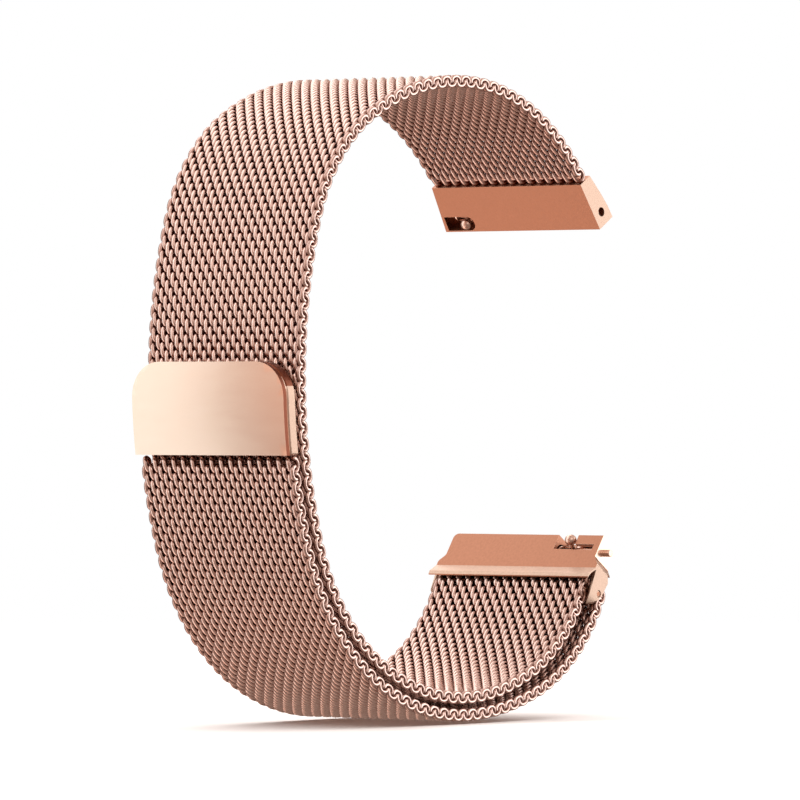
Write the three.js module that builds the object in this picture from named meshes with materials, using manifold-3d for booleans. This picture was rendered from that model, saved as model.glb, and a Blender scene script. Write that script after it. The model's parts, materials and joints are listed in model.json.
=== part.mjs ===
// Woven-mesh loop watch band: two lug end blocks with quick-release spring bars, one mesh strap that
// runs from the upper block round the wrist, through the lower block, over its loop bar and back
// outside itself to a magnetic clasp.
// Millimetres. X points from the loop's closed side to the watch case, Y runs across the strap, Z is up.
// The side view is drawn in (x, z) "loop coordinates"; the finished group is moved so that its origin is
// the middle of the upper block's case-side face.

import * as THREE from 'three';
import { mergeVertices } from 'three/addons/utils/BufferGeometryUtils.js';
import Module from 'manifold-3d';

const wasm = await Module();
wasm.setup();

// ---- driving dimensions -------------------------------------------------------------------------
const BAND_WIDTH = 20;            // lug width that the band fits
const HALF = BAND_WIDTH / 2;
const MESH_THICKNESS = 1.5;
const LAYER_GAP = 0.3;            // free play between the two mesh layers, and round the fold
const HINGE_GAP = 0.4;            // slit between neighbouring strap lengths
const RADIANS = Math.PI / 180;

// The strap's middle line: where it leaves the upper block, and its heading there.
const STRAP_START = [18.7, 23.1];
const STRAP_HEADING = 128;
const FOLD_RADIUS = 1.55;
const LAYER_STEP = MESH_THICKNESS + LAYER_GAP;
const SIDE_RADIUS = 52.2;         // the flat stretch that carries the clasp
const SIDE_TURN = 36.8;
// [bend radius, turn in degrees]; a positive turn is anticlockwise. Inner layer, fold, outer layer.
const INNER_BENDS = [
  [25.7, 46.4], [30.9, 34.5], [18.9, 43.3], [SIDE_RADIUS, SIDE_TURN],
  [23.5, 45.3], [27.8, 50.1], [18.4, 39.1],
];
const FOLD_BEND = [FOLD_RADIUS, -180];
const OUTER_BENDS = [
  [10.2, -3], [19.6, -40.5], [36.6, -20], [27.8 + LAYER_STEP, -25.7], [23.5 + LAYER_STEP, -45.3],
  [SIDE_RADIUS + LAYER_STEP, -SIDE_TURN],
];
// Distances along the strap of the flexing slits, from the upper block.
const BAND_HINGES = [5, 19, 33, 47, 60];
const LOWER_CUTS = [82, 103, 124];
const TAIL_HINGES = [150, 168, 186, 203];

// Clasp: its lowest and highest edge in loop coordinates, and its layers outside the inner strap.
const CLASP_BOTTOM = -5.6;
const CLASP_TOP = 3.9;
const CLASP_CORNER = 3.6;
const CLASP_BODY_THICKNESS = 1.45;
const CLASP_COVER_THICKNESS = 0.5;
const COVER_GAP = 0.1;
const MAGNET = { wide: 4.6, high: 4.4, thick: 0.6, pitch: 6, sunk: 0.5 };
const MAGNET_POCKET_PLAY = 0.2;

// Spring bars, the same in both blocks.
const BORE_RADIUS = 0.85;
const TIP_HOLE_RADIUS = 0.5;
const TUBE = { outer: 0.7, inner: 0.5, start: -7.3 };
const ROD_RADIUS = 0.38;
const TIP_LENGTH = 6.5;
const PLUNGER_LENGTH = 8.75;
const UPPER_FIXED_END = 9.1;       // this tip rests behind its hole
const LOWER_FIXED_END = 9.9;
const END_WALL = 1;
const KNOB_RADIUS = 0.6;
const KNOB_STRETCH = 1.1;         // the knob is a little longer along the bar
const STEM_RADIUS = 0.22;
const BUSH = { outer: 0.8, inner: 0.46 };
const UPPER_BUSH = { from: 9.93, to: 10.2 };
const LOWER_BUSH = { from: 9.1, to: 10 };
const COIL = { radius: 0.36, wire: 0.07, turns: 7, length: 3, middle: -0.8 };
const ROUND = 24;

// Upper end block, drawn from its inner case-side corner.
const UPPER_CORNER = [21, 18.05];
const UPPER_MESH_CORNER = [18.05, 22.7];
const BLOCK_THICKNESS = 2.6;
const UPPER_MESH_END_THICKNESS = 1.9;
const UPPER_BAR_AT = [1.39, 1.3];          // along the face, into the block
const UPPER_CASE_HALF = 10.35;             // half width at the case side; lug width at the mesh side
const UPPER_BULGE = 0.12;
// The release pocket: a round-ended slot in the face, closed by thin walls at the case side and far end.
const UPPER_POCKET = { from: 6.9, to: 9.9, low: 0.15, high: 1.85, deep: 1.9 };
const UPPER_KNOB = { y: 7.3, along: 0.88, into: 0.12 };
const UPPER_TRAVEL = { slot: 2.4, slotShift: 0.25, tubeEnd: 8.95, tipEnd: HALF, fixedEnd: UPPER_FIXED_END };

// Lower end block, drawn from its inner case-side corner.
const LOWER_CORNER = [22.1, -14.35];
const LOWER_FACE_HEADING = 235;
const LOWER_FACE_LENGTH = 4.1;
const LOWER_BAR_AT = [1.4, 1.3];
const SLOT_RADIUS = 2.6;                   // round the loop bar: the strap's fold turns inside it
const SLOT_FROM = 137;
const SLOT_TO = 40;
const RIDGE = [[-1.75, 2.25], [-1.96, 1.9]];    // the lip below the face, over the strap, from the loop bar
const SLOT_BACK = [[2.45, 2.1], [2.8, 3.2]];   // the block's outer corners over the slot, from the loop bar
const ARM_INNER = 10.2;
const ARM_OUTER = 10.7;
// Each arm's outer and inner face, from the loop bar: the lower end is chamfered towards the strap.
const ARM_OUTSIDE = [[-0.11, 3.25], [1.6, 2.4], [1.6, 1.05], [0.75, 0], [-0.1, -0.68], [-1.6, 0.15]];
const ARM_INSIDE = [[-0.11, 3.25], [1.6, 2.4], [1.6, 1.05], [0.7, -0.5], [-0.45, -1.05], [-1.65, -1.0]];
const FAR_CORNER = 0.6;                    // the far case-side corner is rounded
const FLANK = { start: 2.6, end: 3.7 };    // where the block widens from lug width to the arms
const LOOP_BAR_RADIUS = 0.6;
const LOOP_BAR_JOURNAL = 0.32;
const JOURNAL_PLAY = 0.06;
const WIDE_NOTCH = { along: [-1, 1.8], into: [-1, 1.9], across: [-6.7, -4.1] };
const NARROW_NOTCH = { along: [1.15, 1.85], into: [-1, 1.4], across: [-9.2, -6.5] };
const LOWER_KNOB = { y: -5.9, along: 0.65, into: 0 };
const LOWER_TRAVEL = { slot: 2.2, slotShift: -0.5, tubeEnd: 8.7, tipEnd: 10.75, fixedEnd: LOWER_FIXED_END };

// ---- materials ------------------------------------------------------------------------------------
function steel(color, roughness) {
  return new THREE.MeshStandardMaterial({ color, roughness, metalness: 1 });
}
const meshSteel = steel(0xd9a892, 0.32);
const satinSteel = steel(0xc98f72, 0.45);
const polishedSteel = steel(0xe3b79c, 0.12);
const pinSteel = steel(0xd8a68c, 0.25);
const magnetMetal = steel(0x8e9094, 0.4);

// ---- small tools ----------------------------------------------------------------------------------
const band = new THREE.Group();

function add(name, geometry, material) {
  const mesh = new THREE.Mesh(geometry, material);
  mesh.name = name;
  band.add(mesh);
}

function toSolid(geometry) {
  const bare = geometry.clone();
  bare.deleteAttribute('normal');
  bare.deleteAttribute('uv');
  const merged = mergeVertices(bare, 1e-5);
  return new wasm.Manifold(new wasm.Mesh({
    numProp: 3,
    vertProperties: new Float32Array(merged.attributes.position.array),
    triVerts: new Uint32Array(merged.index.array),
  }));
}

function toGeometry(solid) {
  const mesh = solid.getMesh();
  const geometry = new THREE.BufferGeometry();
  geometry.setAttribute('position', new THREE.BufferAttribute(mesh.vertProperties, 3));
  geometry.setIndex(new THREE.BufferAttribute(mesh.triVerts, 1));
  const flat = geometry.toNonIndexed();
  flat.computeVertexNormals();
  return flat;
}

// A side-view outline in (x, z), as wide as the strap's direction from y0 to y1.
function prism(outline, y0, y1) {
  const shape = new THREE.Shape(outline.map(([x, z]) => new THREE.Vector2(x, z)));
  const geometry = new THREE.ExtrudeGeometry(shape, { depth: y1 - y0, bevelEnabled: false });
  geometry.rotateX(Math.PI / 2);
  geometry.translate(0, y1, 0);
  return geometry;
}

function rod(x, z, y0, y1, radius, sides = ROUND) {
  const geometry = new THREE.CylinderGeometry(radius, radius, y1 - y0, sides);
  geometry.translate(x, (y0 + y1) / 2, z);
  return geometry;
}

// A plate outline given as (y, along), cut straight through a block: along runs down the given heading.
function cutter(outline, corner, heading, from, to) {
  const shape = new THREE.Shape(outline.map(([y, along]) => new THREE.Vector2(y, along)));
  const geometry = new THREE.ExtrudeGeometry(shape, { depth: to - from, bevelEnabled: false });
  geometry.translate(0, 0, from);
  const run = direction(heading);
  const inward = [run[1], -run[0]];
  geometry.applyMatrix4(new THREE.Matrix4().makeBasis(
    new THREE.Vector3(0, 1, 0),
    new THREE.Vector3(run[0], 0, run[1]),
    new THREE.Vector3(inward[0], 0, inward[1]),
  ));
  geometry.translate(corner[0], 0, corner[1]);
  return geometry;
}

// A box given in a block's own directions: along its face, into the block, and across (y).
function localBox(frame, along, into, across) {
  const points = [
    frame.at(along[0], into[0]), frame.at(along[1], into[0]),
    frame.at(along[1], into[1]), frame.at(along[0], into[1]),
  ];
  return prism(points, across[0], across[1]);
}

function direction(heading) {
  return [Math.cos(heading * RADIANS), Math.sin(heading * RADIANS)];
}

// A block's frame in the side view: "along" follows its inner face, "into" goes through its thickness.
function faceFrame(corner, heading, side) {
  const along = direction(heading);
  const into = direction(heading + 90 * side);
  return {
    along,
    into,
    at: (a, b) => [corner[0] + along[0] * a + into[0] * b, corner[1] + along[1] * a + into[1] * b],
  };
}

function around(centre, radius, from, to, steps) {
  return Array.from({ length: steps + 1 }, (_, i) => {
    const [x, z] = direction(from + (to - from) * i / steps);
    return [centre[0] + radius * x, centre[1] + radius * z];
  });
}

// ---- the strap's middle line ----------------------------------------------------------------------
function strapLine(start, heading, bends) {
  let [x, z] = start;
  let turned = heading;
  let length = 0;
  return bends.map(([radius, turn]) => {
    const sign = Math.sign(turn);
    const [nx, nz] = direction(turned + 90 * sign);
    const centre = [x + nx * radius, z + nz * radius];
    const bend = { centre, radius, turn, sign, heading: turned, from: length };
    length += radius * Math.abs(turn) * RADIANS;
    turned += turn;
    const [ox, oz] = direction(turned - 90 * sign);
    [x, z] = [bend.centre[0] + ox * radius, bend.centre[1] + oz * radius];
    bend.to = length;
    return bend;
  });
}

const strap = strapLine(STRAP_START, STRAP_HEADING, [...INNER_BENDS, FOLD_BEND, ...OUTER_BENDS]);

// The point at a distance along the strap, "lift" to the left of the way it runs.
function strapPoint(distance, lift = 0) {
  const bend = strap.find((b) => distance <= b.to) ?? strap[strap.length - 1];
  const heading = bend.heading + bend.sign * (distance - bend.from) / bend.radius / RADIANS;
  const [x, z] = direction(heading - 90 * bend.sign);
  const reach = bend.radius - lift * bend.sign;
  return [bend.centre[0] + x * reach, bend.centre[1] + z * reach];
}

function strapStations(from, to) {
  const stations = [from];
  for (const bend of strap) {
    const a = Math.max(from, bend.from);
    const b = Math.min(to, bend.to);
    if (b - a < 0.05) continue;
    const steps = Math.ceil((b - a) / Math.min(2.4, bend.radius * 0.3));
    for (let i = 1; i <= steps; i += 1) stations.push(a + (b - a) * i / steps);
  }
  return stations;
}

function strapLength(from, to) {
  const stations = strapStations(from, to);
  const half = MESH_THICKNESS / 2;
  return prism([
    ...stations.map((s) => strapPoint(s, half)),
    ...stations.reverse().map((s) => strapPoint(s, -half)),
  ], -HALF, HALF);
}

const fold = strap[INNER_BENDS.length];
const loopBar = fold.centre;
const side = strap[3];

// Distance along the outer layer at which it meets the clasp's bottom edge.
const tailEnd = (() => {
  const last = strap[strap.length - 1];
  const rise = Math.asin((side.centre[1] - CLASP_BOTTOM) / last.radius) / RADIANS;
  return last.from + (180 + rise - (last.heading + 90)) * -1 * last.radius * RADIANS;
})();

function buildStrap() {
  const slit = HINGE_GAP / 2;
  add('strap_root', strapLength(LAYER_GAP, BAND_HINGES[0] - slit), meshSteel);
  for (let i = 0; i + 1 < BAND_HINGES.length; i += 1) {
    add(`strap_top_${i + 1}`, strapLength(BAND_HINGES[i] + slit, BAND_HINGES[i + 1] - slit), meshSteel);
  }
  const lower = [BAND_HINGES[BAND_HINGES.length - 1], ...LOWER_CUTS, fold.from];
  for (let i = 0; i + 1 < lower.length; i += 1) {
    const name = ['strap_side', 'strap_lower_left', 'strap_bottom', 'strap_lower_right'][i];
    add(name, strapLength(lower[i] + slit, lower[i + 1] - slit), meshSteel);
  }
  add('strap_fold', strapLength(fold.from, TAIL_HINGES[0] - slit), meshSteel);
  const tail = [...TAIL_HINGES, tailEnd - LAYER_GAP + slit];
  for (let i = 0; i + 1 < tail.length; i += 1) {
    add(`strap_tail_${i + 1}`, strapLength(tail[i] + slit, tail[i + 1] - slit), meshSteel);
  }
}

// ---- spring bars ------------------------------------------------------------------------------------
// A bar lies along Y at [x, z]. "out" is +1 when its sliding tip points to +Y. The knob stands towards
// knobAim, in the block's open notch.
function buildSpringBar(prefix, [x, z], out, knobY, knobAim, travel) {
  const low = (a, b) => Math.min(a * out, b * out);
  const high = (a, b) => Math.max(a * out, b * out);
  const { tubeEnd, tipEnd, fixedEnd } = travel;
  const knobAt = knobY * out;

  const slotWidth = 2 * STEM_RADIUS + 0.3;
  const slot = new THREE.BoxGeometry(slotWidth, travel.slot, 2 * TUBE.outer);
  slot.translate(0, 0, TUBE.outer);
  slot.rotateY(Math.PI / 2 - Math.atan2(knobAim[1], knobAim[0]));
  slot.translate(x, out * (knobAt + travel.slotShift), z);
  const tube = toSolid(rod(x, z, low(TUBE.start, tubeEnd), high(TUBE.start, tubeEnd), TUBE.outer))
    .subtract(toSolid(rod(x, z, -BAND_WIDTH, BAND_WIDTH, TUBE.inner)))
    .subtract(toSolid(slot));
  add(`${prefix}_bar_tube`, toGeometry(tube), pinSteel);

  add(
    `${prefix}_bar_fixed_tip`,
    rod(x, z, low(-fixedEnd, -fixedEnd + TIP_LENGTH), high(-fixedEnd, -fixedEnd + TIP_LENGTH), ROD_RADIUS),
    pinSteel,
  );

  const plungerStart = tipEnd - PLUNGER_LENGTH;
  const plunger = rod(x, z, low(plungerStart, tipEnd), high(plungerStart, tipEnd), ROD_RADIUS);
  add(`${prefix}_release_plunger`, plunger, pinSteel);

  const reach = Math.hypot(...knobAim);
  const ball = new THREE.SphereGeometry(KNOB_RADIUS, 20, 12);
  ball.scale(1, KNOB_STRETCH, 1);
  ball.translate(x + knobAim[0], knobY, z + knobAim[1]);
  const stemFrom = ROD_RADIUS + 0.06;
  const stem = new THREE.CylinderGeometry(STEM_RADIUS, STEM_RADIUS, reach - stemFrom, 16);
  stem.rotateX(Math.PI / 2);
  stem.translate(0, 0, stemFrom + (reach - stemFrom) / 2);
  stem.rotateY(Math.PI / 2 - Math.atan2(knobAim[1], knobAim[0]));
  stem.translate(x, knobY, z);
  add(`${prefix}_release_knob`, toGeometry(toSolid(ball).add(toSolid(stem))), pinSteel);

  add(`${prefix}_bar_spring`, coil(x, z, out * COIL.middle), pinSteel);
}

// The ring that guides the sliding tip where the bore opens at the block's end.
function addBush(name, [x, z], out, { from, to }) {
  const ends = [from * out, to * out].sort((a, b) => a - b);
  const bush = toSolid(rod(x, z, ends[0], ends[1], BUSH.outer))
    .subtract(toSolid(rod(x, z, -BAND_WIDTH, BAND_WIDTH, BUSH.inner)));
  add(name, toGeometry(bush), pinSteel);
}

class Helix extends THREE.Curve {
  constructor(x, z, middle) {
    super();
    this.place = [x, z, middle];
  }

  getPoint(t) {
    const [x, z, middle] = this.place;
    const turn = t * COIL.turns * 2 * Math.PI;
    return new THREE.Vector3(
      x + COIL.radius * Math.cos(turn),
      middle + (t - 0.5) * COIL.length,
      z + COIL.radius * Math.sin(turn),
    );
  }
}

function coil(x, z, middle) {
  const section = new THREE.Shape();
  section.absarc(0, 0, COIL.wire, 0, 2 * Math.PI);
  return new THREE.ExtrudeGeometry(section, {
    extrudePath: new Helix(x, z, middle),
    steps: COIL.turns * 12,
    curveSegments: 6,
    bevelEnabled: false,
  });
}

// ---- upper end block --------------------------------------------------------------------------------
const upperRun = [UPPER_MESH_CORNER[0] - UPPER_CORNER[0], UPPER_MESH_CORNER[1] - UPPER_CORNER[1]];
const upperHeading = Math.atan2(upperRun[1], upperRun[0]) / RADIANS;
const upperLength = Math.hypot(...upperRun);
const upperFrame = faceFrame(UPPER_CORNER, upperHeading, -1);

function buildUpperBlock() {
  const outline = [
    upperFrame.at(0, 0),
    upperFrame.at(upperLength, 0),
    upperFrame.at(upperLength, UPPER_MESH_END_THICKNESS),
    upperFrame.at(upperLength * 0.55, (BLOCK_THICKNESS + UPPER_MESH_END_THICKNESS) / 2 + UPPER_BULGE),
    upperFrame.at(upperLength * 0.25, BLOCK_THICKNESS),
    upperFrame.at(0, BLOCK_THICKNESS),
  ];
  const plan = [
    [UPPER_CASE_HALF, 0], [HALF, upperLength], [HALF, upperLength + 1],
    [-HALF, upperLength + 1], [-HALF, upperLength], [-UPPER_CASE_HALF, 0],
  ];
  const { from, to, low, high, deep } = UPPER_POCKET;
  const pocket = [[to, low], [to, high], ...around([from, (low + high) / 2], (high - low) / 2, 90, 270, 10)];
  const [x, z] = upperFrame.at(...UPPER_BAR_AT);
  const block = toSolid(prism(outline, -UPPER_CASE_HALF - 1, UPPER_CASE_HALF + 1))
    .intersect(toSolid(cutter(plan, UPPER_CORNER, upperHeading, -1, BLOCK_THICKNESS + 1)))
    .subtract(toSolid(rod(x, z, -HALF + END_WALL, HALF + 1, BORE_RADIUS)))
    .subtract(toSolid(rod(x, z, -HALF - 1, HALF, TIP_HOLE_RADIUS)))
    .subtract(toSolid(cutter(pocket, UPPER_CORNER, upperHeading, -1, deep)));
  add('upper_end_block', toGeometry(block), satinSteel);
  addBush('upper_bar_bush', [x, z], 1, UPPER_BUSH);
  const knob = upperFrame.at(UPPER_KNOB.along, UPPER_KNOB.into);
  buildSpringBar('upper', [x, z], 1, UPPER_KNOB.y, [knob[0] - x, knob[1] - z], UPPER_TRAVEL);
}

// ---- lower end block --------------------------------------------------------------------------------
const lowerFrame = faceFrame(LOWER_CORNER, LOWER_FACE_HEADING, 1);

function fromLoopBar([x, z]) {
  return [loopBar[0] + x, loopBar[1] + z];
}

// One arm, tapering from its inner face to its outer one. side is -1 at the near end and 1 at the far end.
function loopArm(side) {
  const corners = [];
  for (const [outline, y] of [[ARM_INSIDE, ARM_INNER], [ARM_OUTSIDE, ARM_OUTER]]) {
    for (const corner of outline) {
      const [x, z] = fromLoopBar(corner);
      corners.push([x, side * y, z]);
    }
  }
  return wasm.Manifold.hull(corners);
}

function buildLowerBlock() {
  const outline = [
    lowerFrame.at(0, 0),
    lowerFrame.at(LOWER_FACE_LENGTH, 0),
    ...RIDGE.map(fromLoopBar),
    ...around(loopBar, SLOT_RADIUS, SLOT_FROM, SLOT_TO, 12),
    ...SLOT_BACK.map(fromLoopBar),
    lowerFrame.at(1.6, BLOCK_THICKNESS),
    lowerFrame.at(0, BLOCK_THICKNESS),
  ];
  // Plan outline: lug width at the case side, then an S-curved flank out to the loop's arms.
  const flank = Array.from({ length: 9 }, (_, i) => {
    const t = i / 8;
    const ease = t * t * (3 - 2 * t);
    return [HALF + (ARM_OUTER - HALF) * ease, FLANK.start + (FLANK.end - FLANK.start) * t];
  });
  const wide = [...flank, [ARM_OUTER, 12]];
  const corner = HALF - FAR_CORNER;
  const plan = [
    [corner, -2], ...around([corner, FAR_CORNER], FAR_CORNER, -90, 0, 6), ...wide,
    ...wide.map(([y, along]) => [-y, along]).reverse(), [-HALF, -2],
  ];
  const [x, z] = lowerFrame.at(...LOWER_BAR_AT);
  const cutNotch = ({ along, into, across }) => toSolid(localBox(lowerFrame, along, into, across));
  const block = toSolid(prism(outline, -ARM_OUTER, ARM_OUTER))
    .add(loopArm(-1))
    .add(loopArm(1))
    .intersect(toSolid(cutter(plan, LOWER_CORNER, LOWER_FACE_HEADING, -6, 4)))
    .subtract(toSolid(rod(x, z, -HALF - 2, HALF - END_WALL, BORE_RADIUS)))
    .subtract(toSolid(rod(x, z, 0, HALF + 2, TIP_HOLE_RADIUS)))
    .subtract(toSolid(rod(...loopBar, -ARM_OUTER - 1, ARM_OUTER + 1, LOOP_BAR_JOURNAL + JOURNAL_PLAY)))
    .subtract(cutNotch(WIDE_NOTCH))
    .subtract(cutNotch(NARROW_NOTCH));
  add('lower_end_block', toGeometry(block), satinSteel);

  const journal = rod(...loopBar, -ARM_OUTER + 0.05, ARM_OUTER - 0.05, LOOP_BAR_JOURNAL);
  const shoulder = ARM_INNER - 0.1;
  const bar = toSolid(journal).add(toSolid(rod(...loopBar, -shoulder, shoulder, LOOP_BAR_RADIUS)));
  add('loop_bar', toGeometry(bar), satinSteel);

  addBush('lower_bar_bush', [x, z], -1, LOWER_BUSH);
  const knob = lowerFrame.at(LOWER_KNOB.along, LOWER_KNOB.into);
  buildSpringBar('lower', [x, z], -1, LOWER_KNOB.y, [knob[0] - x, knob[1] - z], LOWER_TRAVEL);
}

// ---- clasp --------------------------------------------------------------------------------------------
function claspPlate(inner, outer) {
  const angle = (z, r) => 180 - Math.asin((z - side.centre[1]) / r) / RADIANS;
  const outline = [
    ...around(side.centre, inner, angle(CLASP_BOTTOM, inner), angle(CLASP_TOP, inner), 8),
    ...around(side.centre, outer, angle(CLASP_TOP, outer), angle(CLASP_BOTTOM, outer), 8),
  ];
  const corner = CLASP_CORNER;
  const plan = [
    [-HALF, CLASP_BOTTOM - 1], [HALF, CLASP_BOTTOM - 1],
    ...around([HALF - corner, CLASP_TOP - corner], corner, 0, 90, 10),
    ...around([-HALF + corner, CLASP_TOP - corner], corner, 90, 180, 10),
  ];
  return toSolid(prism(outline, -HALF, HALF)).intersect(toSolid(cutter(plan, [0, 0], 90, -60, 60)));
}

function buildClasp() {
  const strapFace = SIDE_RADIUS + MESH_THICKNESS / 2;
  const bodyInner = strapFace + LAYER_GAP;
  const bodyOuter = bodyInner + CLASP_BODY_THICKNESS;
  const coverInner = bodyOuter + COVER_GAP;
  let body = claspPlate(bodyInner, bodyOuter);
  const middle = (CLASP_TOP + CLASP_BOTTOM) / 2;
  const face = side.centre[0] - bodyOuter;
  for (const i of [-1, 0, 1]) {
    const y = i * MAGNET.pitch;
    const pocket = new THREE.BoxGeometry(
      2 * (MAGNET.sunk + MAGNET.thick + MAGNET_POCKET_PLAY / 2),
      MAGNET.wide + 2 * MAGNET_POCKET_PLAY,
      MAGNET.high + 2 * MAGNET_POCKET_PLAY,
    );
    pocket.translate(face, y, middle);
    body = body.subtract(toSolid(pocket));
    const magnet = new THREE.BoxGeometry(MAGNET.thick, MAGNET.wide, MAGNET.high);
    magnet.translate(face + MAGNET.sunk + MAGNET.thick / 2, y, middle);
    add(`clasp_magnet_${i + 2}`, magnet, magnetMetal);
  }
  add('clasp_body', toGeometry(body), polishedSteel);
  add('clasp_cover', toGeometry(claspPlate(coverInner, coverInner + CLASP_COVER_THICKNESS)), polishedSteel);
}

buildUpperBlock();
buildStrap();
buildLowerBlock();
buildClasp();

// The origin is the middle of the upper block's case-side face.
const origin = upperFrame.at(0, BLOCK_THICKNESS / 2);
band.position.set(-origin[0], 0, -origin[1]);

export default band;
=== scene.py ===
# Rose-gold woven-mesh watch band: looks of every piece, the studio light and the camera.
import json
import math

import bmesh
import bpy
import numpy as np
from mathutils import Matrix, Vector


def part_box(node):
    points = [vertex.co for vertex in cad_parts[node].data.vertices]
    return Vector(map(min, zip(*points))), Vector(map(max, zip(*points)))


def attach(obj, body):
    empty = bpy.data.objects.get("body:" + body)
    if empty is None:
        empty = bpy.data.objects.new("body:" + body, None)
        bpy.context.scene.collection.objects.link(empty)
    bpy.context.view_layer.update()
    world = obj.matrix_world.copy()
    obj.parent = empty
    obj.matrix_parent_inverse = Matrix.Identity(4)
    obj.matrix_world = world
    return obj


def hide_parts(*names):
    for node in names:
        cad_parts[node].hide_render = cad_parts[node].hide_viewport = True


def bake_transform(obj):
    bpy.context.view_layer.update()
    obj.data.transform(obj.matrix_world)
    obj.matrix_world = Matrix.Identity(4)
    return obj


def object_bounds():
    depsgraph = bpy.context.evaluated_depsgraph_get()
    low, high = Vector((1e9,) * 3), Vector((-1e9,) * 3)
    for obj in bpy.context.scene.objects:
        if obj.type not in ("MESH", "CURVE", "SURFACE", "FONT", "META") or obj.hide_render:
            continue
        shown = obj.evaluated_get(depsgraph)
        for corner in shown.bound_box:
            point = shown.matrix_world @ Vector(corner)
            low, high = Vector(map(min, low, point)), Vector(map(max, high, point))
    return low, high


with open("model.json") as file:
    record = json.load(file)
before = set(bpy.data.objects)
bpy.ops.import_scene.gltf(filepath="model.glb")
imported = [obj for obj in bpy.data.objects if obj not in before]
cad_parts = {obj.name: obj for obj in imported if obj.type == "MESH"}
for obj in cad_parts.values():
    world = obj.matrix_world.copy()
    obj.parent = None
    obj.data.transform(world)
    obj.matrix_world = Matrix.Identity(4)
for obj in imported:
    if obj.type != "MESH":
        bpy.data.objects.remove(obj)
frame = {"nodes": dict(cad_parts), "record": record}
cad_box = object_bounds()

MM = 0.001

# ---- the strap's middle line, as in the CAD source (millimetres, side view) -------------------------
BAND_WIDTH = 20.0
HALF = BAND_WIDTH / 2
MESH_THICKNESS = 1.5
LAYER_GAP = 0.3
LAYER_STEP = MESH_THICKNESS + LAYER_GAP
STRAP_START = (18.7, 23.1)
STRAP_HEADING = 128.0
SIDE_RADIUS = 52.2
SIDE_TURN = 36.8
# (radius, turn in degrees); a positive turn is anticlockwise. Inner layer, fold, outer layer.
INNER_BENDS = [
    (25.7, 46.4), (30.9, 34.5), (18.9, 43.3), (SIDE_RADIUS, SIDE_TURN),
    (23.5, 45.3), (27.8, 50.1), (18.4, 39.1),
]
FOLD_BEND = (1.55, -180)
OUTER_BENDS = [
    (10.2, -3), (19.6, -40.5), (36.6, -20), (27.8 + LAYER_STEP, -25.7), (23.5 + LAYER_STEP, -45.3),
    (SIDE_RADIUS + LAYER_STEP, -SIDE_TURN),
]
BAND_HINGES = [5, 19, 33, 47, 60]
TAIL_HINGES = [150, 168, 186, 203]
TAIL_END = 217.84               # distance along the strap at which it ends, in the clasp
UPPER_CORNER = (21.0, 18.05)
UPPER_MESH_CORNER = (18.05, 22.7)
BLOCK_THICKNESS = 2.6


def loop_origin():
    """The shared frame's origin in the side view: the middle of the upper block's case-side face."""
    run = Vector(UPPER_MESH_CORNER) - Vector(UPPER_CORNER)
    run.normalize()
    into = Vector((run.y, -run.x))
    return Vector(UPPER_CORNER) + into * BLOCK_THICKNESS / 2


ORIGIN = loop_origin()


def strap_line():
    """The bends as (from, to, centre, radius, sign, heading), walked from the upper block."""
    x, z = STRAP_START
    heading = math.radians(STRAP_HEADING)
    length = 0.0
    bends = []
    for radius, turn in INNER_BENDS + [FOLD_BEND] + OUTER_BENDS:
        sign = 1.0 if turn > 0 else -1.0
        side = heading + sign * math.pi / 2
        centre = (x + radius * math.cos(side), z + radius * math.sin(side))
        stretch = radius * abs(math.radians(turn))
        bends.append((length, length + stretch, centre, radius, sign, heading))
        length += stretch
        heading += math.radians(turn)
        back = heading - sign * math.pi / 2
        x, z = centre[0] + radius * math.cos(back), centre[1] + radius * math.sin(back)
    return bends


STRAP = strap_line()


def strap_place(distance, lift, across):
    """Points in metres in the shared frame. lift is millimetres to the left of the strap's run.

    across is in millimetres too.
    """
    x = np.empty_like(distance)
    z = np.empty_like(distance)
    last = len(STRAP) - 1
    for i, (start, end, centre, radius, sign, heading) in enumerate(STRAP):
        here = np.ones(distance.shape, bool)
        if i > 0:
            here &= distance >= start
        if i < last:
            here &= distance < end
        angle = heading + sign * (distance[here] - start) / radius - sign * math.pi / 2
        reach = radius - sign * lift[here]
        x[here] = centre[0] + reach * np.cos(angle)
        z[here] = centre[1] + reach * np.sin(angle)
    return np.stack([x - ORIGIN.x, across, z - ORIGIN.y], -1) * MM


def hinge_span(hinge, start, end, play):
    """The middle-line points on both sides of a hinge between which a length of strap bends."""
    reach = min(hinge - start, end - hinge) - play
    return strap_place(np.array([hinge - reach, hinge + reach]), np.zeros(2), np.zeros(2))


# ---- woven mesh ---------------------------------------------------------------------------------------
STRAP_FROM = 0.45               # the first spiral starts this far along the strap
ROW_PITCH = 0.8                 # along the strap, between neighbouring spirals
ROWS = int((TAIL_END - STRAP_FROM - STRAP_FROM) / ROW_PITCH)
WIRE = 0.24                     # wire radius
HOOK_SWELL = 0.2                # the wire is upset thicker where the spirals hook into each other
COIL_LONG = 0.68                # half length of a spiral's loop along the strap
COIL_THICK = 0.525              # half its height through the strap
TURNS = 15.5                    # full turns between the two flat end turns
HOOK_ADVANCE = 0.33             # how much of the sideways travel happens in the hooks
END_TURN = 180                  # degrees of each flat end turn
END_FADE = 90                   # degrees over which the hooks' travel fades in and out
STEPS_PER_TURN = 18
SIDES = 7
HEAD = 0.255                    # radius of the fused head at a wire's end
HEAD_RAMP = 50.0                # degrees over which the wire swells to its head
HEAD_CAPS = (65, 32)            # degrees of the two rings that round a head off
EDGE = HALF - WIRE
ROLLED_FROM = 0.62              # the mesh is rolled flat beyond this height
ROLLED_SHARE = 0.7
SHADE_FADE_HEIGHT = (0.26, 0.56)      # wire nearer the middle of the strap gets painted shade, as it lies deep between the other wires
SHADED_EDGE = (9.35, 9.65)      # wire further out than this gets part of that painted shade
EDGE_SHADE = 0.45                # how much of it
UNSHADED_CREST = (9.84, 9.98)       # the outermost wire, which catches the light, gets none of the painted shade
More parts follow.
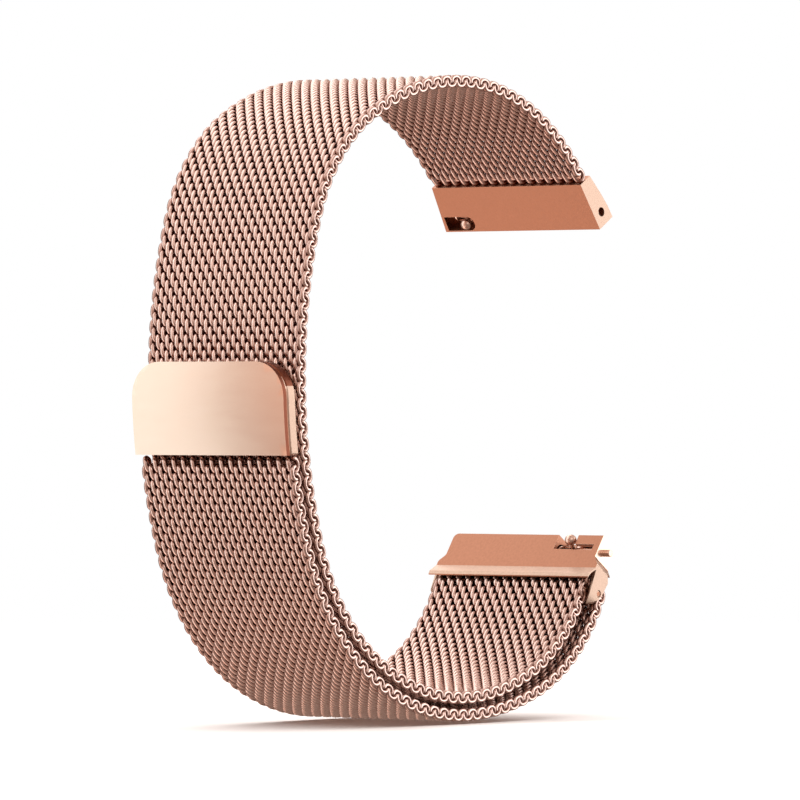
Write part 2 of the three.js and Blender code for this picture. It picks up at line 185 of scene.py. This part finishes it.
INNER_SHADE_HEIGHT = (0.40, 0.63)    # as the heights above, for more painted shade, on the inner face near the upper block
INNER_SHADE_UNTIL = (24.0, 34.0)     # distances along the strap over which that ends


def spiral_course():
    """One spiral from near edge to far edge: angle in degrees, place across, wire radius."""
    turn = np.arange(0, END_TURN + TURNS * 360 + END_TURN + 1e-6, 360 / STEPS_PER_TURN)
    last = turn[-1]
    ramp = np.clip((turn - END_TURN) / (TURNS * 360), 0, 1)
    window = np.clip(np.minimum(turn - END_TURN, last - END_TURN - turn) / END_FADE, 0, 1)
    pitch = 2 * EDGE / TURNS
    swing = window * HOOK_ADVANCE * pitch / (2 * math.pi)
    across = -EDGE + 2 * EDGE * ramp + swing * np.sin(2 * np.radians(turn))
    soft = np.convolve(np.pad(across, 1, mode="edge"), [0.25, 0.5, 0.25], mode="valid")
    across = np.where(window < 1, soft, across)
    near_head = np.clip(1 - turn / HEAD_RAMP, 0, 1)
    far_head = np.clip(1 - (last - turn) / HEAD_RAMP, 0, 1)
    hook = np.cos(np.radians(turn)) ** 2 * window
    radius = WIRE * (1 + HOOK_SWELL * hook) + (HEAD - WIRE) * np.maximum(near_head, far_head)
    return turn, across, radius


def flat_spiral(phase):
    """A spiral on a straight strap: the hub and the offset of every point, as (along, lift, across)."""
    turn, across, radius = spiral_course()
    angle = np.radians(turn + phase)
    centre = np.stack([COIL_LONG * np.cos(angle), -COIL_THICK * np.sin(angle), across], -1)
    tangent = np.gradient(centre, axis=0)
    tangent /= np.linalg.norm(tangent, axis=1, keepdims=True)
    radial = centre * (1, 1, 0)
    side = np.cross(tangent, radial)
    side /= np.linalg.norm(side, axis=1, keepdims=True)
    normal = np.cross(side, tangent)
    around = (np.arange(SIDES) * 2 * math.pi / SIDES)[None, :, None]
    spokes = np.cos(around) * normal[:, None] + np.sin(around) * side[:, None]
    rings = spokes * radius[:, None, None]
    caps = np.radians(HEAD_CAPS)
    first = [rings[0] * math.cos(c) - tangent[0] * radius[0] * math.sin(c) for c in caps]
    final = [rings[-1] * math.cos(c) + tangent[-1] * radius[-1] * math.sin(c) for c in caps[::-1]]
    hubs = np.concatenate([[centre[0]] * len(caps), centre, [centre[-1]] * len(caps)])
    offsets = np.concatenate([first, rings, final])
    hubs = np.repeat(hubs, SIDES, axis=0)
    offsets = offsets.reshape(-1, 3)
    hubs = np.concatenate([hubs, [centre[0], centre[-1]]])
    offsets = np.concatenate([offsets, [-tangent[0] * radius[0], tangent[-1] * radius[-1]]])
    return hubs, offsets


def wire_faces(rings, wires):
    """Quads between rings and a fan at each end, as flat loop indices and loop counts."""
    ring = np.arange(rings - 1)[:, None] * SIDES
    here = np.arange(SIDES)
    following = (here + 1) % SIDES
    corners = [ring + here, ring + following, ring + SIDES + following, ring + SIDES + here]
    quads = np.stack(corners, -1).reshape(-1, 4)
    first = rings * SIDES
    last = first + 1
    top = (rings - 1) * SIDES
    near = np.stack([np.full(SIDES, first), following, here], -1)
    far = np.stack([np.full(SIDES, last), top + here, top + following], -1)
    per_wire = rings * SIDES + 2
    shift = np.arange(wires) * per_wire
    loops = np.concatenate([quads.ravel(), near.ravel(), far.ravel()])
    counts = np.concatenate([np.full(len(quads), 4), np.full(len(near) + len(far), 3)])
    return (loops[None, :] + shift[:, None]).ravel(), np.tile(counts, wires)


def mesh_object(name, points, loops, counts, material):
    starts = np.concatenate([[0], np.cumsum(counts)[:-1]])
    mesh = bpy.data.meshes.new(name)
    mesh.vertices.add(len(points))
    mesh.vertices.foreach_set("co", points.astype(np.float32).ravel())
    mesh.loops.add(len(loops))
    mesh.loops.foreach_set("vertex_index", loops.astype(np.int32))
    mesh.polygons.add(len(counts))
    mesh.polygons.foreach_set("loop_start", starts.astype(np.int32))
    mesh.polygons.foreach_set("use_smooth", np.ones(len(counts), bool))
    mesh.update(calc_edges=True)
    mesh.validate()
    mesh.materials.append(material)
    piece = bpy.data.objects.new(name, mesh)
    bpy.context.scene.collection.objects.link(piece)
    return piece


def strap_stretch(distance, lift):
    """How much longer the strap is at this lift than on its middle line."""
    stretch = np.ones(distance.shape)
    for start, end, centre, radius, sign, heading in STRAP:
        here = (distance >= start) & (distance < end)
        stretch[here] = (radius - sign * lift[here]) / radius
    return stretch


def smooth_step(value, low, high):
    share = np.clip((value - low) / (high - low), 0, 1)
    return share * share * (3 - 2 * share)


def weave(name, rows):
    """The spirals with these row numbers, as one piece of woven wire."""
    points = []
    unshaded = []
    for row in rows:
        hubs, offsets = FLAT_SPIRALS[row % 2]
        middle = (row + 0.5) * ROW_PITCH + STRAP_FROM
        along = middle + hubs[:, 0]
        along = along + offsets[:, 0] / strap_stretch(along, hubs[:, 1])
        lift = hubs[:, 1] + offsets[:, 1]
        above = np.clip(np.abs(lift) - ROLLED_FROM, 0, None)
        lift = np.sign(lift) * (np.abs(lift) - above * ROLLED_SHARE)
        across = hubs[:, 2] + offsets[:, 2]
        points.append(strap_place(along, lift, across))
        # painted shade: wire deep in the mesh is darkened, more so on the inner face near the upper block
        # and partly near the edges, but not on the outermost crest
        inner_shade = (1 - smooth_step(along, *INNER_SHADE_UNTIL)) * (lift > 0)
        limits = [a + (b - a) * inner_shade for a, b in zip(SHADE_FADE_HEIGHT, INNER_SHADE_HEIGHT)]
        shown = smooth_step(np.abs(lift), *limits)
        shown = shown * (1 - EDGE_SHADE * smooth_step(np.abs(across), *SHADED_EDGE))
        unshaded.append(np.maximum(shown, smooth_step(np.abs(across), *UNSHADED_CREST)))
    hubs = FLAT_SPIRALS[0][0]
    loops, counts = wire_faces((len(hubs) - 2) // SIDES, len(rows))
    piece = mesh_object(name, np.concatenate(points), loops, counts, WOVEN)
    layer = piece.data.attributes.new("unshaded", "FLOAT", "POINT")
    layer.data.foreach_set("value", np.concatenate(unshaded).astype(np.float32))
    return piece


FLAT_SPIRALS = [flat_spiral(0.0), flat_spiral(180.0)]     # neighbouring rows lie half a turn apart


# ---- materials ------------------------------------------------------------------------------------------
NOISE_RANGE = (0.3, 0.7)        # the noise values between which a metal's tones run
NOISE_DETAIL = 4.0
# colour of the painted shade between the woven mesh's wires
DEPTH_SHADE_PAINT = (0.22, 0.06, 0.032, 1)
WIRE_TONES = ((0.82, 0.60, 0.53), (0.90, 0.71, 0.65))
# tones of the painted shade on the clasp body's top corners and round the cover's wall
SHADE_PAINT_TONES = ((0.17, 0.05, 0.028), (0.24, 0.08, 0.045))
SATIN_TONES = ((0.40, 0.185, 0.115), (0.50, 0.245, 0.158))
# tones of the painted light on the blocks' arms and ridge and on the clasp's ends
LIGHT_PAINT_TONES = ((0.50, 0.36, 0.28), (0.66, 0.49, 0.39))
BRIGHT_TONES = ((0.855, 0.635, 0.515), (0.87, 0.66, 0.54))
PIN_TONES = ((0.80, 0.56, 0.46), (0.88, 0.66, 0.56))
NICKEL_TONES = ((0.50, 0.50, 0.51), (0.60, 0.60, 0.62))


def new_material(name):
    material = bpy.data.materials.new(name)
    material.use_nodes = True
    shader = material.node_tree.nodes["Principled BSDF"]
    return material, material.node_tree.nodes, material.node_tree.links, shader


def grained_metal(name, tones, grain, roughness, bump, stretch=(1, 1, 1)):
    """A metal whose colour, roughness and surface all follow one fine noise.

    Returns the material and its colour.
    """
    material, nodes, links, shader = new_material(name)
    shader.inputs["Metallic"].default_value = 1.0
    coordinates = nodes.new("ShaderNodeTexCoord")
    mapping = nodes.new("ShaderNodeMapping")
    mapping.inputs["Scale"].default_value = stretch
    links.new(coordinates.outputs["Object"], mapping.inputs["Vector"])
    noise = nodes.new("ShaderNodeTexNoise")
    noise.inputs["Scale"].default_value = grain
    noise.inputs["Detail"].default_value = NOISE_DETAIL
    links.new(mapping.outputs["Vector"], noise.inputs["Vector"])
    ramp = nodes.new("ShaderNodeValToRGB")
    for element, position, tone in zip(ramp.color_ramp.elements, NOISE_RANGE, tones):
        element.position = position
        element.color = (*tone, 1)
    links.new(noise.outputs["Fac"], ramp.inputs["Fac"])
    links.new(ramp.outputs["Color"], shader.inputs["Base Color"])
    rough = nodes.new("ShaderNodeMapRange")
    rough.inputs["From Min"].default_value = NOISE_RANGE[0]
    rough.inputs["From Max"].default_value = NOISE_RANGE[1]
    rough.inputs["To Min"].default_value = roughness[0]
    rough.inputs["To Max"].default_value = roughness[1]
    links.new(noise.outputs["Fac"], rough.inputs["Value"])
    links.new(rough.outputs["Result"], shader.inputs["Roughness"])
    relief = nodes.new("ShaderNodeBump")
    relief.inputs["Strength"].default_value = 1.0
    relief.inputs["Distance"].default_value = bump * MM
    links.new(noise.outputs["Fac"], relief.inputs["Height"])
    links.new(relief.outputs["Normal"], shader.inputs["Normal"])
    return material, ramp.outputs["Color"]


def woven_material():
    """Bright drawn wire, darkened with painted shade in the mesh's depth as a vertex attribute says."""
    material, bright = grained_metal("woven rose-gold wire", WIRE_TONES, 2200.0, (0.22, 0.32), 0.002)
    nodes, links = material.node_tree.nodes, material.node_tree.links
    unshaded = nodes.new("ShaderNodeAttribute")
    unshaded.attribute_name = "unshaded"
    # mixes the painted shade in where the vertex attribute is low
    mix = nodes.new("ShaderNodeMix")
    mix.data_type = "RGBA"
    mix.inputs[6].default_value = DEPTH_SHADE_PAINT
    links.new(unshaded.outputs["Fac"], mix.inputs[0])
    links.new(bright, mix.inputs[7])
    links.new(mix.outputs[2], nodes["Principled BSDF"].inputs["Base Color"])
    return material


# the numbers after the tones: grain (per metre), roughness from and to, bump (mm), stretch of the grain
WOVEN = woven_material()
SATIN = grained_metal("satin rose-gold", SATIN_TONES, 3800.0, (0.34, 0.5), 0.004)[0]
LIGHT_PAINT = grained_metal("rose-gold with painted light", LIGHT_PAINT_TONES, 3800.0, (0.36, 0.5), 0.012)[0]
POLISHED = grained_metal("polished rose-gold", BRIGHT_TONES, 900.0, (0.18, 0.19), 0.00001, (1, 0.3, 1))[0]
TURNED = grained_metal("turned pin steel", PIN_TONES, 1500.0, (0.24, 0.34), 0.002, (0.2, 6, 0.2))[0]
SHADE_PAINT = grained_metal("rose-gold edge with painted shade", SHADE_PAINT_TONES, 3800.0, (0.3, 0.42), 0.002)[0]
NICKEL = grained_metal("nickel magnet", NICKEL_TONES, 3000.0, (0.3, 0.45), 0.002)[0]


# ---- the strap's woven lengths ---------------------------------------------------------------------------
TOP_CUTS = (0, 12, 26, 40, 53.5, 66)           # distances along the strap where the woven lengths meet
LOWER_CUTS = (66, 94, 121, 147.8)
TAIL_CUTS = (147.8, 159, 177, 194.5, 212)
TOP_NODES = (("strap_root", "strap_top_1"), ("strap_top_2",), ("strap_top_3",), ("strap_top_4",), ())
LOWER_NODES = (("strap_side",), ("strap_lower_left", "strap_bottom"), ("strap_lower_right", "strap_fold"))
TOP_PLAY = 0.5                  # how far a bend's ends stay inside its length
TAIL_PLAY = 0.2


def row_at(distance):
    return max(0, int(round((distance - STRAP_FROM) / ROW_PITCH - 0.5)))


def stand_for(nodes):
    """Hides these CAD nodes, which a woven length stands in for."""
    if nodes:
        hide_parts(*nodes)


def build_strap():
    """Woven lengths across the hinges, and plain lengths between them."""
    for i, hinge in enumerate(BAND_HINGES):
        start, end = TOP_CUTS[i:i + 2]
        piece = weave(f"woven_top_{i + 1}", range(row_at(start), row_at(end)))
        a, b = hinge_span(hinge, start, end, TOP_PLAY)
        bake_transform(piece)
        stand_for(TOP_NODES[i])
    for i, nodes in enumerate(LOWER_NODES):
        start, end = LOWER_CUTS[i:i + 2]
        piece = weave(f"woven_lower_{i + 1}", range(row_at(start), row_at(end)))
        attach(piece, "band_lower")
        stand_for(nodes)
    for i, hinge in enumerate(TAIL_HINGES):
        start, end = TAIL_CUTS[i:i + 2]
        piece = weave(f"woven_tail_{i + 1}", range(row_at(start), row_at(end)))
        a, b = hinge_span(hinge, start, end, TAIL_PLAY)
        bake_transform(piece)
        stand_for([f"strap_tail_{i + 1}"])
    piece = weave("woven_clasp_end", range(row_at(TAIL_CUTS[-1]), ROWS))
    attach(piece, "clasp")
    stand_for([])


build_strap()


# ---- blocks, pins and clasp: the CAD shapes with softened edges ----------------------------------------
SHARP = math.radians(30)        # edges sharper than this are softened
CREASE = SHARP * 1.2            # and edges sharper than this stay creases in the shading
FLAT = math.radians(0.5)        # neighbouring faces this close to one plane are joined
SAME_PLACE = 1e-7               # metres between points that are one corner
SLOT_LOOKS = {"satin_block": SATIN, "pin_steel": TURNED, "polished_clasp": POLISHED, "magnet": NICKEL}
OWN, BRIGHT_LOOK, LIGHT_PAINT_LOOK, SHADE_PAINT_LOOK = range(4)        # material indices of every shape below; the last two carry painted light and painted shade
BLOCK_EDGE = 0.13               # widths of the softened edges
PIN_EDGE = 0.06
COVER_EDGE = 0.07
BODY_EDGE = 0.3
COVER_CROWN = 0.16              # how far the cover's middle stands proud of its ends
COVER_STRIPS = 24
CLASP_MIDDLE = -0.85            # height of the clasp's middle, in the side view
MAGNET_AREA = (8.7, 2.6)        # half width and half height that the magnets' pockets take up
SIDE_WALL = 0.6                 # faces that look less than this along X are a plate's side wall; on the cover they get painted shade
RISING = 0.3                    # faces of the clasp body that look up at least this much get painted shade
BRIGHT_END = 0.95               # faces that look this squarely across the strap are a plate's ends
BRIGHT_FROM = (9.7, 10.12)      # such faces of a block take the polished look if they are this far out: partly a polished finish, partly painted light
LIGHT_PAINT_FROM = 10.12               # and everything further out, the loop arms, gets painted light
RIDGE = ((-2.0, -0.5), (1.85, 2.82))    # x and z of the lip over the strap, from the loop bar
LENGTHWISE = 0.5                # the ridge's own faces look less than this along Y
BAR_BORE = 0.85                 # radii of the bore and of the bar's rod
BAR_ROD = 0.38


def sharp_edges(shape):
    return [edge for edge in shape.edges if edge.is_manifold and edge.calc_face_angle() > SHARP]


def soften(shape, edges, width, clamp=True):
    """Rounds these edges. The new faces take the piece's second material."""
    bmesh.ops.bevel(shape, geom=edges, offset=width * MM, segments=4, profile=0.5,
                    affect="EDGES", clamp_overlap=clamp, material=BRIGHT_LOOK)


def read_shape(node):
    """The CAD node's solid with shared corners and whole flat faces."""
    shape = bmesh.new()
    shape.from_mesh(frame["nodes"][node].data)
    bmesh.ops.remove_doubles(shape, verts=shape.verts, dist=SAME_PLACE)
    bmesh.ops.dissolve_limit(shape, angle_limit=FLAT, verts=shape.verts, edges=shape.edges)
    return shape


def node_facts():
    """Each node's body and material slot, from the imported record."""
    record = frame["record"]
    slots = {entry["node"]: entry["material_slot"] for entry in record["subparts"]}
    bodies = {node: body for body, nodes in record["behaviour"]["bodies"].items() for node in nodes}
    return bodies, slots


NODE_BODY, NODE_SLOT = node_facts()
LOOP_BAR = sum((Vector(corner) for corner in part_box("loop_bar")), Vector()) / 2


def on_ridge(face):
    place = face.calc_center_median()
    x, z = (place.x - LOOP_BAR.x) / MM, (place.z - LOOP_BAR.z) / MM
    inside = RIDGE[0][0] < x < RIDGE[0][1] and RIDGE[1][0] < z < RIDGE[1][1]
    return inside and abs(face.normal.y) < LENGTHWISE


def face_look(face):
    """The look of a block's face: its ends take the polished look, partly a polished finish and partly
    painted light; its arms and ridge get painted light.
    """
    out = abs(face.calc_center_median().y) / MM
    if BRIGHT_FROM[0] < out < BRIGHT_FROM[1] and abs(face.normal.y) > BRIGHT_END:
        return BRIGHT_LOOK
    return LIGHT_PAINT_LOOK if out > LIGHT_PAINT_FROM or on_ridge(face) else face.material_index


def stand_in(node, shape, bright_ends=False):
    """The finished shape as the piece that is shown for this node."""
    shape.normal_update()
    for face in shape.faces:
        face.smooth = True
        if bright_ends:
            face.material_index = face_look(face)
    for edge in shape.edges:
        edge.smooth = not edge.is_manifold or edge.calc_face_angle() < CREASE
    mesh = bpy.data.meshes.new(f"{node}_fine")
    shape.to_mesh(mesh)
    shape.free()
    for look in (SLOT_LOOKS[NODE_SLOT[node]], POLISHED, LIGHT_PAINT, SHADE_PAINT):
        mesh.materials.append(look)
    piece = bpy.data.objects.new(f"{node}_fine", mesh)
    bpy.context.scene.collection.objects.link(piece)
    normals = piece.modifiers.new("normals", "WEIGHTED_NORMAL")
    normals.keep_sharp = True
    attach(piece, NODE_BODY[node])
    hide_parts(node)


def softened(node, width, bright_ends=False):
    shape = read_shape(node)
    if width:
        soften(shape, sharp_edges(shape), width)
    stand_in(node, shape, bright_ends)


def clasp_looks(shape, plate_side):
    """Painted light on the ends; painted shade on the body's top and upper corners, and on the cover's wall
    all round.
    """
    shape.normal_update()
    for face in shape.faces:
        shaded = abs(face.normal.x) < SIDE_WALL if plate_side else face.normal.z > RISING
        plain = LIGHT_PAINT_LOOK if abs(face.normal.y) > BRIGHT_END else OWN
        face.material_index = SHADE_PAINT_LOOK if shaded else plain


def clasp_body():
    """The plate behind the cover, with a round along its outline but not at its magnets' pockets."""
    shape = read_shape("clasp_body")
    half, height = MAGNET_AREA
    middle = CLASP_MIDDLE - ORIGIN.y

    def outline(vert):
        return abs(vert.co.y) > half * MM or abs(vert.co.z - middle * MM) > height * MM

    rim = [edge for edge in sharp_edges(shape) if all(outline(vert) for vert in edge.verts)]
    soften(shape, rim, BODY_EDGE, clamp=False)
    clasp_looks(shape, plate_side=False)
    stand_in("clasp_body", shape)


def clasp_cover():
    """The cover, crowned across the strap so that its reflections run from one end to the other."""
    shape = read_shape("clasp_cover")
    for i in range(1, COVER_STRIPS):
        across = (-HALF + BAND_WIDTH * i / COVER_STRIPS) * MM
        everything = list(shape.verts) + list(shape.edges) + list(shape.faces)
        bmesh.ops.bisect_plane(shape, geom=everything, plane_co=(0, across, 0), plane_no=(0, 1, 0))
    for vert in shape.verts:
        vert.co.x -= COVER_CROWN * MM * (1 - (vert.co.y / (HALF * MM)) ** 2)
    soften(shape, sharp_edges(shape), COVER_EDGE)
    clasp_looks(shape, plate_side=True)
    stand_in("clasp_cover", shape)


def bar_bush(node):
    """The guide ring, which fills the gap between the bore and the sliding tip."""
    shape = read_shape(node)
    low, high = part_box(node)
    middle = (Vector(low) + Vector(high)) / 2
    for vert in shape.verts:
        spoke = Vector((vert.co.x - middle.x, 0, vert.co.z - middle.z))
        reach = BAR_BORE if spoke.length > (BAR_BORE + BAR_ROD) / 2 * MM else BAR_ROD
        spoke = spoke.normalized() * reach * MM
        vert.co.x, vert.co.z = middle.x + spoke.x, middle.z + spoke.z
    stand_in(node, shape, bright_ends=True)


def build_hardware():
    blocks = ("upper_end_block", "lower_end_block")
    bushes = ("upper_bar_bush", "lower_bar_bush")
    for node in blocks:
        softened(node, BLOCK_EDGE, bright_ends=True)
    clasp_body()
    clasp_cover()
    for node in bushes:
        bar_bush(node)
    done = {*blocks, *bushes, "clasp_body", "clasp_cover"}
    for node, slot in NODE_SLOT.items():
        if slot != "woven_mesh" and node not in done:
            plain = "spring" in node or "knob" in node
            softened(node, 0 if plain else PIN_EDGE)


build_hardware()


# ---- light, floor and camera ------------------------------------------------------------------------------
CAMERA_DISTANCE = 811.0
CAMERA_AZIMUTH = 38.5
SENSOR_WIDTH = 36.0
VIEW_WIDTH = 83.638             # how much of the target's plane the camera sees
ROOM_LEVELS = (-0.5, 0.8)       # heights between which the room changes from its lower to its upper part
ROOM_BELOW = 0.28
ROOM_ABOVE = 0.75
TINT_BELOW = (1.0, 0.73, 0.61, 1)
TINT_ABOVE = (1.0, 0.80, 0.70, 1)
FLOOR_RADIUS = 0.4
FLOOR_DROP = 0.0002             # the floor lies this far below the part
FLOOR_FADE = (0.2, 0.95)        # shares of the floor's radius between which it fades out


def area_light(name, place, size, radiance, target, glossy=True, tint=(1, 1, 1)):
    """A soft box of the given size (metres) and brightness, aimed at the target."""
    data = bpy.data.lights.new(name, "AREA")
    data.shape = "RECTANGLE"
    data.size, data.size_y = size
    data.energy = radiance * math.pi * size[0] * size[1]
    data.color = tint
    lamp = bpy.data.objects.new(name, data)
    lamp.location = place
    lamp.rotation_euler = (Vector(target) - Vector(place)).to_track_quat("-Z", "Y").to_euler()
    lamp.visible_glossy = glossy
    lamp.visible_camera = False
    bpy.context.scene.collection.objects.link(lamp)


def studio():
    """A white background, with a room that is darker below than above for everything else."""
    world = bpy.data.worlds.new("studio")
    bpy.context.scene.world = world
    world.use_nodes = True
    nodes, links = world.node_tree.nodes, world.node_tree.links
    background = nodes["Background"]
    coordinates = nodes.new("ShaderNodeTexCoord")
    parts = nodes.new("ShaderNodeSeparateXYZ")
    links.new(coordinates.outputs["Generated"], parts.inputs[0])
    level = nodes.new("ShaderNodeMapRange")
    level.interpolation_type = "SMOOTHSTEP"
    level.inputs["From Min"].default_value = ROOM_LEVELS[0]
    level.inputs["From Max"].default_value = ROOM_LEVELS[1]
    links.new(parts.outputs["Z"], level.inputs["Value"])
    room = nodes.new("ShaderNodeMapRange")
    room.inputs["To Min"].default_value = ROOM_BELOW
    room.inputs["To Max"].default_value = ROOM_ABOVE
    links.new(level.outputs["Result"], room.inputs["Value"])
    path = nodes.new("ShaderNodeLightPath")
    strength = nodes.new("ShaderNodeMix")
    strength.inputs[3].default_value = 1.0
    links.new(path.outputs["Is Camera Ray"], strength.inputs[0])
    links.new(room.outputs["Result"], strength.inputs[2])
    warmth = nodes.new("ShaderNodeMix")
    warmth.data_type = "RGBA"
    warmth.inputs[6].default_value = TINT_BELOW
    warmth.inputs[7].default_value = TINT_ABOVE
    links.new(level.outputs["Result"], warmth.inputs[0])
    tint = nodes.new("ShaderNodeMix")
    tint.data_type = "RGBA"
    links.new(warmth.outputs[2], tint.inputs[6])
    tint.inputs[7].default_value = (1, 1, 1, 1)
    links.new(path.outputs["Is Camera Ray"], tint.inputs[0])
    links.new(tint.outputs[2], background.inputs["Color"])
    links.new(strength.outputs[0], background.inputs["Strength"])
    bpy.context.scene.view_settings.view_transform = "Standard"


def floor():
    """A pale disc that fades out towards its rim."""
    place = (-ORIGIN.x * MM, 0, cad_box[0][2] - FLOOR_DROP)
    bpy.ops.mesh.primitive_circle_add(vertices=96, radius=FLOOR_RADIUS, fill_type="NGON", location=place)
    disc = bpy.context.object
    disc.name = "studio_floor"
    material, nodes, links, shader = new_material("pale floor")
    shader.inputs["Base Color"].default_value = (0.86, 0.86, 0.86, 1)
    shader.inputs["Roughness"].default_value = 0.9
    shader.inputs["Specular IOR Level"].default_value = 0.0
    coordinates = nodes.new("ShaderNodeTexCoord")
    length = nodes.new("ShaderNodeVectorMath")
    length.operation = "LENGTH"
    links.new(coordinates.outputs["Object"], length.inputs[0])
    fade = nodes.new("ShaderNodeMapRange")
    fade.interpolation_type = "SMOOTHSTEP"
    fade.inputs["From Min"].default_value = FLOOR_RADIUS * FLOOR_FADE[0]
    fade.inputs["From Max"].default_value = FLOOR_RADIUS * FLOOR_FADE[1]
    fade.inputs["To Min"].default_value = 1.0
    fade.inputs["To Max"].default_value = 0.0
    links.new(length.outputs["Value"], fade.inputs["Value"])
    links.new(fade.outputs["Result"], shader.inputs["Alpha"])
    disc.data.materials.append(material)
    disc.visible_glossy = False
    disc.visible_shadow = False


def camera():
    """A camera level with the middle of the loop. Returns its target and the way it looks."""
    target = Vector((-ORIGIN.x, 0, -ORIGIN.y)) * MM
    azimuth = math.radians(CAMERA_AZIMUTH)
    ahead = Vector((math.cos(azimuth), math.sin(azimuth), 0))
    data = bpy.data.cameras.new("camera")
    data.sensor_width = SENSOR_WIDTH
    data.lens = SENSOR_WIDTH * CAMERA_DISTANCE / VIEW_WIDTH
    data.clip_start = 0.01
    eye = bpy.data.objects.new("camera", data)
    eye.location = target - ahead * CAMERA_DISTANCE * MM
    eye.rotation_euler = ahead.to_track_quat("-Z", "Y").to_euler()
    bpy.context.scene.collection.objects.link(eye)
    bpy.context.scene.camera = eye
    return target, ahead


def lamps(aim, ahead):
    """Soft boxes round the loop, each placed by metres ahead, to the right and up from its middle."""
    right = Vector((ahead.y, -ahead.x, 0))
    white = (1, 1, 1)
    boxes = [
        ("key", (0.10, 0.50, 0.06), (0.40, 0.50), 1.75, white),
        ("left", (0.02, -0.48, 0.06), (0.30, 0.60), 1.15, (0.81, 0.97, 1)),
        ("left_warm", (-0.27, -0.42, 0.04), (0.28, 0.60), 0.44, (1, 0.55, 0.40)),
        ("low_left", (0, -0.39, -0.33), (0.40, 0.36), 1.05, (1, 0.84, 0.76)),
        ("low_back", (0.21, -0.25, -0.42), (0.36, 0.32), 0.9, (1, 0.62, 0.48)),
        ("front", (-0.60, 0.10, 0.30), (0.35, 0.25), 1.0, white),
        ("back", (0.45, -0.10, 0.33), (0.34, 0.25), 1.8, white),
        ("top", (0.08, -0.22, 0.42), (0.5, 0.5), 0.88, white),
        ("floor_light", (0, 0, 1.0), (3, 3), 1.0, white),
    ]
    for name, (forward, sideways, rise), size, radiance, tint in boxes:
        place = aim + ahead * forward + right * sideways + Vector((0, 0, rise))
        area_light(name, place, size, radiance, aim, glossy=name != "floor_light", tint=tint)


studio()
aim, ahead = camera()
floor()
lamps(aim, ahead)
